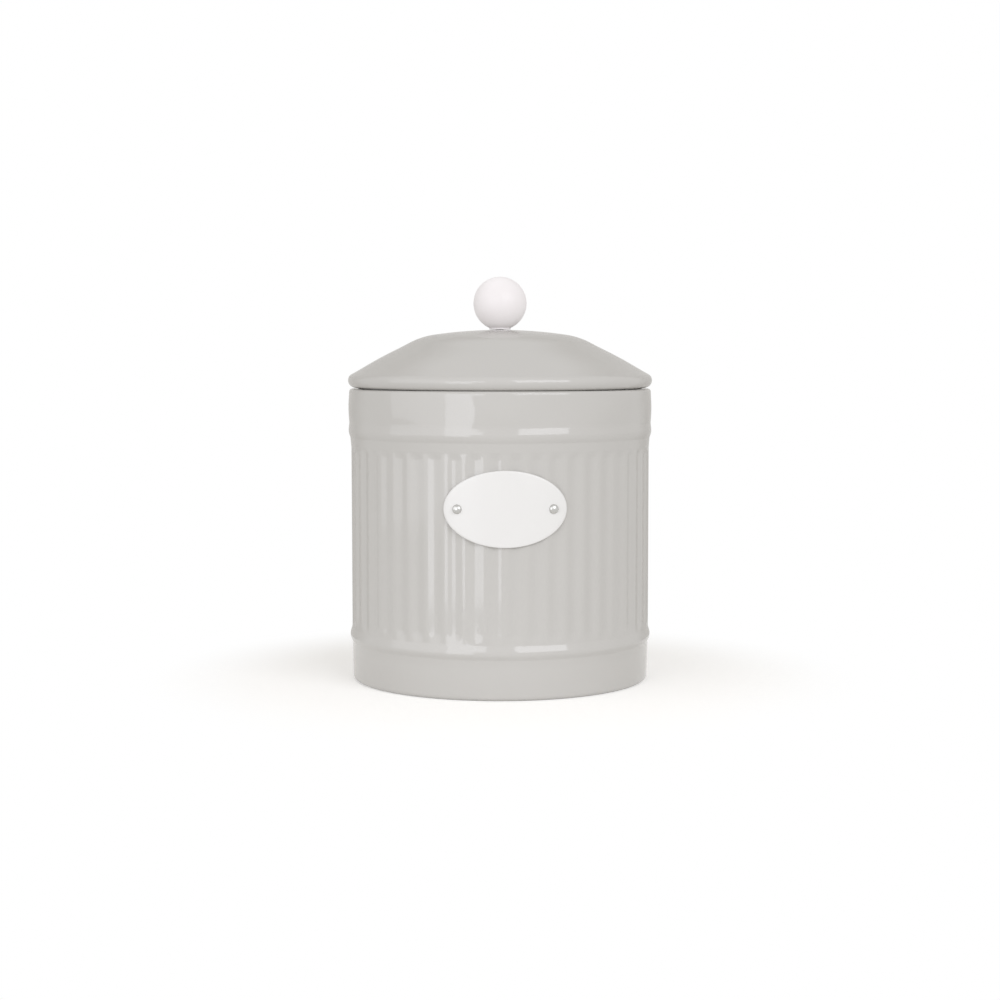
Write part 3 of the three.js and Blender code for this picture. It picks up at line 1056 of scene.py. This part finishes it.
@dataclass
class BallKnob:
    """The ball on the lid, with its insert, and the screw and washer that hold it from below."""

    lid: DomedLid
    radius: float = 12.5
    foot_radius: float = 5.0
    foot_height: float = 0.8
    foot_chamfer: float = 0.15
    foot_guard: float = 0.1  # the foot's upright stops this far under the ball
    seat: float = 0.15
    bore_radius: float = 3.7
    bore_depth: float = 11.0
    insert_inside: float = 2.3
    insert_outside: float = 3.4
    insert_length: float = 10.0
    insert_lead: float = 0.5
    knurls: int = 24
    knurl_depth: float = 0.15
    knurl_rows: int = 6
    washer_inside: float = 2.3
    washer_outside: float = 5.5
    washer_thickness: float = 0.8
    washer_gap: float = 0.1
    washer_edge: float = 0.15
    screw_radius: float = 2.0
    screw_reach: float = 8.0
    screw_tip: float = 0.8
    plain_shank: float = 1.2  # from the head to the first turn of the thread
    thread_pitch: float = 0.7
    thread_depth: float = 0.38
    thread_guard: float = 0.1
    thread_rows: int = 97
    thread_fade: float = 0.3  # how much of the run-out is left at the thread's last row
    head_radius: float = 3.9
    head_height: float = 2.4
    head_fullness: float = 0.8  # a power below 1 makes the pan fuller than a ball
    head_rows: int = 30
    recess_depth: float = 1.3
    recess_arm: float = 2.0
    recess_half_width: float = 0.5
    recess_slope: float = 0.25
    recess_end_slope: float = 0.75
    ball_columns: int = 128
    small_columns: int = 96

    def make_ball(self) -> Piece:
        """The ball: most of a circle turned round the axis, on a short round foot with a bore for the insert.

        Returns:
            The ball's object.
        """
        foot_top = self.seat + self.foot_height
        below_centre = math.sqrt(self.radius**2 - self.foot_radius**2)
        foot_angle = math.degrees(math.asin(-below_centre / self.radius))
        section = joined(
            [[0, self.seat + self.bore_depth], [self.bore_radius, self.seat + self.bore_depth]],
            [[self.bore_radius, self.seat], [self.foot_radius - self.foot_chamfer, self.seat]],
            [[self.foot_radius, self.seat + self.foot_chamfer]],
            [[self.foot_radius, foot_top - self.foot_guard]],
            arc((0, foot_top + below_centre), self.radius, foot_angle, 90, steps=56),
        )
        section[-1, 0] = 0
        grid = revolved(section + [0, self.lid.top], self.ball_columns)
        return make_piece("ball_knob", grid, loop=False)

    def make_insert(self) -> Piece:
        """The insert: a tube whose outside has straight knurls, a triangle wave round it.

        Returns:
            The insert's object.
        """
        low, high = self.seat, self.seat + self.insert_length
        knurled = np.linspace(low + self.insert_lead, high - self.insert_lead, self.knurl_rows)
        section = joined(
            [[self.insert_inside, low], [self.insert_outside - self.knurl_depth, low]],
            np.column_stack([np.full(self.knurl_rows, self.insert_outside), knurled]),
            [[self.insert_outside - self.knurl_depth, high], [self.insert_inside, high]],
        )
        is_outside = section[:, 0] == self.insert_outside

        def knurl(angle: np.ndarray, _: np.ndarray) -> np.ndarray:
            """Cuts the knurls into the tube's outside."""
            return -self.knurl_depth * is_outside * triangle_wave(self.knurls * angle / (2 * np.pi))

        grid = revolved(section, self.small_columns, knurl) + [0, 0, self.lid.top]
        return make_piece("knurled_insert", grid, loop=True)

    def make_washer(self) -> Piece:
        """The washer: a flat ring with its edges broken.

        Returns:
            The washer's object.
        """
        top = -self.lid.sheet - self.washer_gap
        low = top - self.washer_thickness
        corners = [
            [self.washer_inside, (low + top) / 2],
            [self.washer_inside, low],
            [self.washer_outside, low],
            [self.washer_outside, top],
            [self.washer_inside, top],
            [self.washer_inside, (low + top) / 2],
        ]
        section = eased(corners, self.washer_edge, steps=3)[:-1] + [0, self.lid.top]
        return make_piece("flat_washer", revolved(section, self.small_columns), loop=True)

    def recess(self, x: np.ndarray, y: np.ndarray) -> np.ndarray:
        """The depth of the cross in the screw's head, as a share: two bars with sloped sides.

        Args:
            x: places across the head.
            y: places across the head, square to x.

        Returns:
            Shares from 0 to 1.
        """
        bar_x = smooth((self.recess_half_width - np.abs(x)) / self.recess_slope + 0.5)
        bar_y = smooth((self.recess_half_width - np.abs(y)) / self.recess_slope + 0.5)
        end_x = smooth((self.recess_arm - np.abs(x)) / self.recess_end_slope + 0.5)
        end_y = smooth((self.recess_arm - np.abs(y)) / self.recess_end_slope + 0.5)
        return np.maximum(bar_x * end_y, bar_y * end_x)

    def make_screw(self) -> Piece:
        """The screw: a pan head with a cross recess below, and a threaded shank up into the insert.

        The pan is a quarter circle whose radii are raised to head_fullness. The thread is a triangle
        wave along the shank that advances one pitch in each turn.

        Returns:
            The screw's object.
        """
        head_top = -self.lid.sheet - 2 * self.washer_gap - self.washer_thickness
        tip = self.seat + self.screw_reach
        thread_start = head_top + self.plain_shank
        thread_end = tip - self.screw_tip
        fall = np.radians(np.linspace(-90, 0, self.head_rows))
        pan = np.column_stack(
            [
                self.head_radius * np.cos(fall) ** self.head_fullness,
                head_top + self.head_height * np.sin(fall),
            ]
        )
        pan[0, 0] = 0
        turns = np.linspace(thread_start, thread_end, self.thread_rows)
        section = joined(
            pan,
            [[self.screw_radius, head_top], [self.screw_radius, thread_start - self.thread_guard]],
            np.column_stack([np.full(self.thread_rows, self.screw_radius), turns]),
            [[self.screw_radius - self.screw_tip, tip], [0, tip]],
        )

        def thread(angle: np.ndarray, z: np.ndarray) -> np.ndarray:
            """Cuts the thread into the shank.

            Args:
                angle: round the axis, in radians from the front.
                z: heights.

            Returns:
                Shifts of the radius.
            """
            wave = triangle_wave(z / self.thread_pitch - angle / (2 * np.pi))
            run_in = smooth((z - thread_start) / self.thread_pitch)
            run_out = smooth((thread_end - z) / self.thread_pitch + self.thread_fade)
            return -self.thread_depth * wave * run_in * run_out

        grid = revolved(section, self.small_columns, thread)
        is_pan = np.arange(len(section)) < len(pan)
        grid[..., 2] += self.recess_depth * self.recess(grid[..., 0], grid[..., 1]) * is_pan
        return make_piece("pan_screw", grid + [0, 0, self.lid.top], loop=False)

    def build(self) -> None:
        """Builds and dresses the ball and its fastening."""
        WHITE_LACQUER.dress(self.make_ball(), Body.LID, "knob_ball")
        BRASS.dress(self.make_insert(), Body.LID, "knob_insert")
        ZINC.dress(self.make_washer(), Body.LID, "knob_washer")
        ZINC.dress(self.make_screw(), Body.LID, "knob_screw")


# The studio


@dataclass(frozen=True)
class Softbox:
    """A flat, evenly bright lamp that faces the tin."""

    name: str
    azimuth: float  # from the front, to the right
    elevation: float
    width: float
    height: float
    brightness: float  # against a white background of 1
    distance: float = 1200.0
    colour: str = "#f6f8ff"

    def place(self, aim: Vector) -> None:
        """Stands the lamp at its angle and turns it to the tin.

        Args:
            aim: the point that it faces, in metres.
        """
        turn, rise = math.radians(self.azimuth), math.radians(self.elevation)
        away = Vector((math.sin(turn) * math.cos(rise), -math.cos(turn) * math.cos(rise), math.sin(rise)))
        lamp = bpy.data.lights.new(self.name, "AREA")
        lamp.shape = "RECTANGLE"
        lamp.size, lamp.size_y = self.width * MM, self.height * MM
        lamp.energy = self.brightness * math.pi * lamp.size * lamp.size_y
        lamp.color = linear(self.colour)[:3]
        holder = bpy.data.objects.new(self.name, lamp)
        holder.location = aim + away * self.distance * MM
        holder.rotation_euler = away.to_track_quat("Z", "Y").to_euler()
        holder.visible_camera = False
        bpy.context.scene.collection.objects.link(holder)
        log.info("%s: %.1f W", self.name, lamp.energy)


# One at table height on the left, a high one on the right, a strip above the left one's edge, and a fill
SOFTBOXES = (
    Softbox("left_softbox", azimuth=-32.0, elevation=6.5, width=423.0, height=680.0, brightness=2.35),
    Softbox("right_softbox", azimuth=30.0, elevation=25.5, width=862.0, height=688.0, brightness=3.0),
    Softbox("left_strip", azimuth=-17.5, elevation=18.0, width=180.0, height=359.0, brightness=2.2),
    Softbox("left_fill", azimuth=-66.0, elevation=15.0, width=1068.0, height=900.0, brightness=0.75),
)


@dataclass
class Studio:
    """A pale floor, a white surround, a card behind, the softboxes and the camera."""

    floor_radius: float = 180.0
    floor_height: float = -0.05  # just under the hem
    floor_columns: int = 96
    floor_colour: str = "#eeedeb"
    floor_glow: float = 0.3
    white_from: float = 95.0  # how far out the floor starts to turn to plain white
    white_at: float = 175.0
    surround_light: float = 0.57
    surround_colour: str = "#fffcf7"
    card_distance: float = 700.0
    card_thickness: float = 4.0
    card_start: float = 105.0
    card_bottom: float = -250.0
    card_top: float = 1100.0
    card_rows: int = 49
    card_full_below: float = 500.0  # from here up to its top the card fades out
    card_none_at: float = 290.0  # how far behind the tin the card starts to show
    card_full_at: float = 610.0  # and where it is solid
    card_colour: str = "#e7e6e4"
    camera_distance: float = 929.5
    camera_height: float = 158.4
    camera_azimuth: float = -2.0
    camera_pitch: float = 4.58
    focal_length: float = 70.75
    sensor: float = 36.0
    aim_height: float = 85.0

    def seen_directly(self, tree: Tree) -> Socket:
        """A share that is 1 for what the camera sees, straight or mirrored, and 0 for plain light.

        Args:
            tree: where its nodes go.

        Returns:
            The socket with the share.
        """
        path = add_node(tree, "ShaderNodeLightPath").outputs
        share = path["Is Camera Ray"]
        for ray in ("Is Glossy Ray", "Is Transmission Ray"):
            share = add_node(tree, "ShaderNodeMath", {0: share, 1: path[ray]}, operation="MAXIMUM").outputs[0]
        return share

    def make_surround(self) -> None:
        """The world: white where it is seen, and a plain soft light elsewhere."""
        world = bpy.data.worlds.new("white_surround")
        tree = empty_tree(world)
        soft = {"Color": linear(self.surround_colour), "Strength": self.surround_light}
        light = add_node(tree, "ShaderNodeBackground", soft).outputs[0]
        plain = {"Color": linear("#ffffff"), "Strength": 1.0}
        white = add_node(tree, "ShaderNodeBackground", plain).outputs[0]
        mixed = add_node(tree, "ShaderNodeMixShader", {0: self.seen_directly(tree), 1: light, 2: white})
        add_node(tree, "ShaderNodeOutputWorld", {"Surface": mixed.outputs[0]})
        bpy.context.scene.world = world

    def make_floor(self) -> None:
        """A round pale table top: it takes the shadow, glows a little where it is seen and ends in white."""
        section = np.array([[self.floor_radius, self.floor_height], [0, self.floor_height]])
        floor = make_piece("floor", revolved(section, self.floor_columns), loop=False)
        material = bpy.data.materials.new("pale_matt_floor")
        tree = empty_tree(material)
        matt = add_node(tree, "ShaderNodeBsdfDiffuse", {"Color": linear(self.floor_colour)}).outputs[0]
        place = add_node(tree, "ShaderNodeTexCoord").outputs["Object"]
        distance = add_node(tree, "ShaderNodeVectorMath", {0: place}, operation="LENGTH").outputs["Value"]
        share = add_node(
            tree,
            "ShaderNodeMapRange",
            {0: distance, 1: self.white_from * MM, 2: self.white_at * MM},
            interpolation_type="SMOOTHSTEP",
        ).outputs[0]
        glow = add_node(tree, "ShaderNodeEmission", {"Strength": self.floor_glow}).outputs[0]
        bright = add_node(tree, "ShaderNodeAddShader", {0: matt, 1: glow}).outputs[0]
        white = add_node(tree, "ShaderNodeEmission", {"Strength": 1.0}).outputs[0]
        seen = add_node(tree, "ShaderNodeMixShader", {0: share, 1: bright, 2: white}).outputs[0]
        mixed = add_node(tree, "ShaderNodeMixShader", {0: self.seen_directly(tree), 1: matt, 2: seen})
        add_node(tree, "ShaderNodeOutputMaterial", {"Surface": mixed.outputs[0]})
        floor.data.materials.append(material)

    def make_card(self) -> None:
        """A grey card that stands round the back, out of the camera's sight, and keeps the outline crisp.

        It is a thin strip with a rectangular section, carried round an arc about the tin. Its top and
        its ends fade out, as gauze does, so that no edge of it shows in the gloss.
        """
        azimuth = np.radians(np.linspace(self.card_start, 360 - self.card_start, self.card_rows))[None, :]
        radius = (self.card_distance + self.card_thickness * np.array([0, 1, 1, 0]))[:, None]
        ends = np.array([self.card_bottom, self.card_bottom, self.card_top, self.card_top])
        height = ends[:, None] + 0 * azimuth
        grid = np.stack([radius * np.sin(azimuth), -radius * np.cos(azimuth), height], axis=-1)
        card = make_piece("grey_card", grid, loop=False)
        material = bpy.data.materials.new("matt_grey_card")
        tree = empty_tree(material)
        place = add_node(tree, "ShaderNodeTexCoord").outputs["Object"]
        axes = add_node(tree, "ShaderNodeSeparateXYZ", {0: place}).outputs
        fades = [
            add_node(
                tree,
                "ShaderNodeMapRange",
                {0: axes[axis], 1: none_at * MM, 2: full_at * MM},
                interpolation_type="SMOOTHSTEP",
            ).outputs[0]
            for axis, none_at, full_at in (
                ("Y", self.card_none_at, self.card_full_at),
                ("Z", self.card_top, self.card_full_below),
            )
        ]
        share = add_node(tree, "ShaderNodeMath", dict(enumerate(fades)), operation="MULTIPLY").outputs[0]
        clear = add_node(tree, "ShaderNodeBsdfTransparent").outputs[0]
        matt = add_node(tree, "ShaderNodeBsdfDiffuse", {"Color": linear(self.card_colour)}).outputs[0]
        gauze = add_node(tree, "ShaderNodeMixShader", {0: share, 1: clear, 2: matt})
        add_node(tree, "ShaderNodeOutputMaterial", {"Surface": gauze.outputs[0]})
        card.data.materials.append(material)
        card.visible_camera = False

    def make_lamps(self) -> None:
        """Stands the softboxes round the tin."""
        aim = Vector((0, 0, self.aim_height * MM))
        for softbox in SOFTBOXES:
            softbox.place(aim)

    def make_camera(self) -> None:
        """The camera, at the place that fits the photograph's outline in a square frame."""
        turn = math.radians(self.camera_azimuth)
        lens = bpy.data.cameras.new("camera")
        lens.sensor_width = self.sensor
        lens.lens = self.focal_length
        holder = bpy.data.objects.new("camera", lens)
        holder.location = (
            self.camera_distance * MM * math.sin(turn),
            -self.camera_distance * MM * math.cos(turn),
            self.camera_height * MM,
        )
        holder.rotation_euler = (math.radians(90 - self.camera_pitch), 0, turn)
        bpy.context.scene.collection.objects.link(holder)
        bpy.context.scene.camera = holder

    def build(self) -> None:
        """Sets up the whole studio."""
        bpy.context.scene.view_settings.view_transform = "Standard"
        self.make_surround()
        self.make_floor()
        self.make_card()
        self.make_lamps()
        self.make_camera()


def main() -> None:
    """Loads the frame, builds and dresses every sub-assembly, and sets up the studio."""
    logging.basicConfig(level=logging.INFO, format="%(name)s: %(message)s")
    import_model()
    plate = OvalPlate()
    lid = DomedLid()
    FlutedBody().build(plate.make_drills)
    plate.build()
    lid.build()
    BallKnob(lid).build()
    Studio().build()


if __name__ == "__main__":
    main()
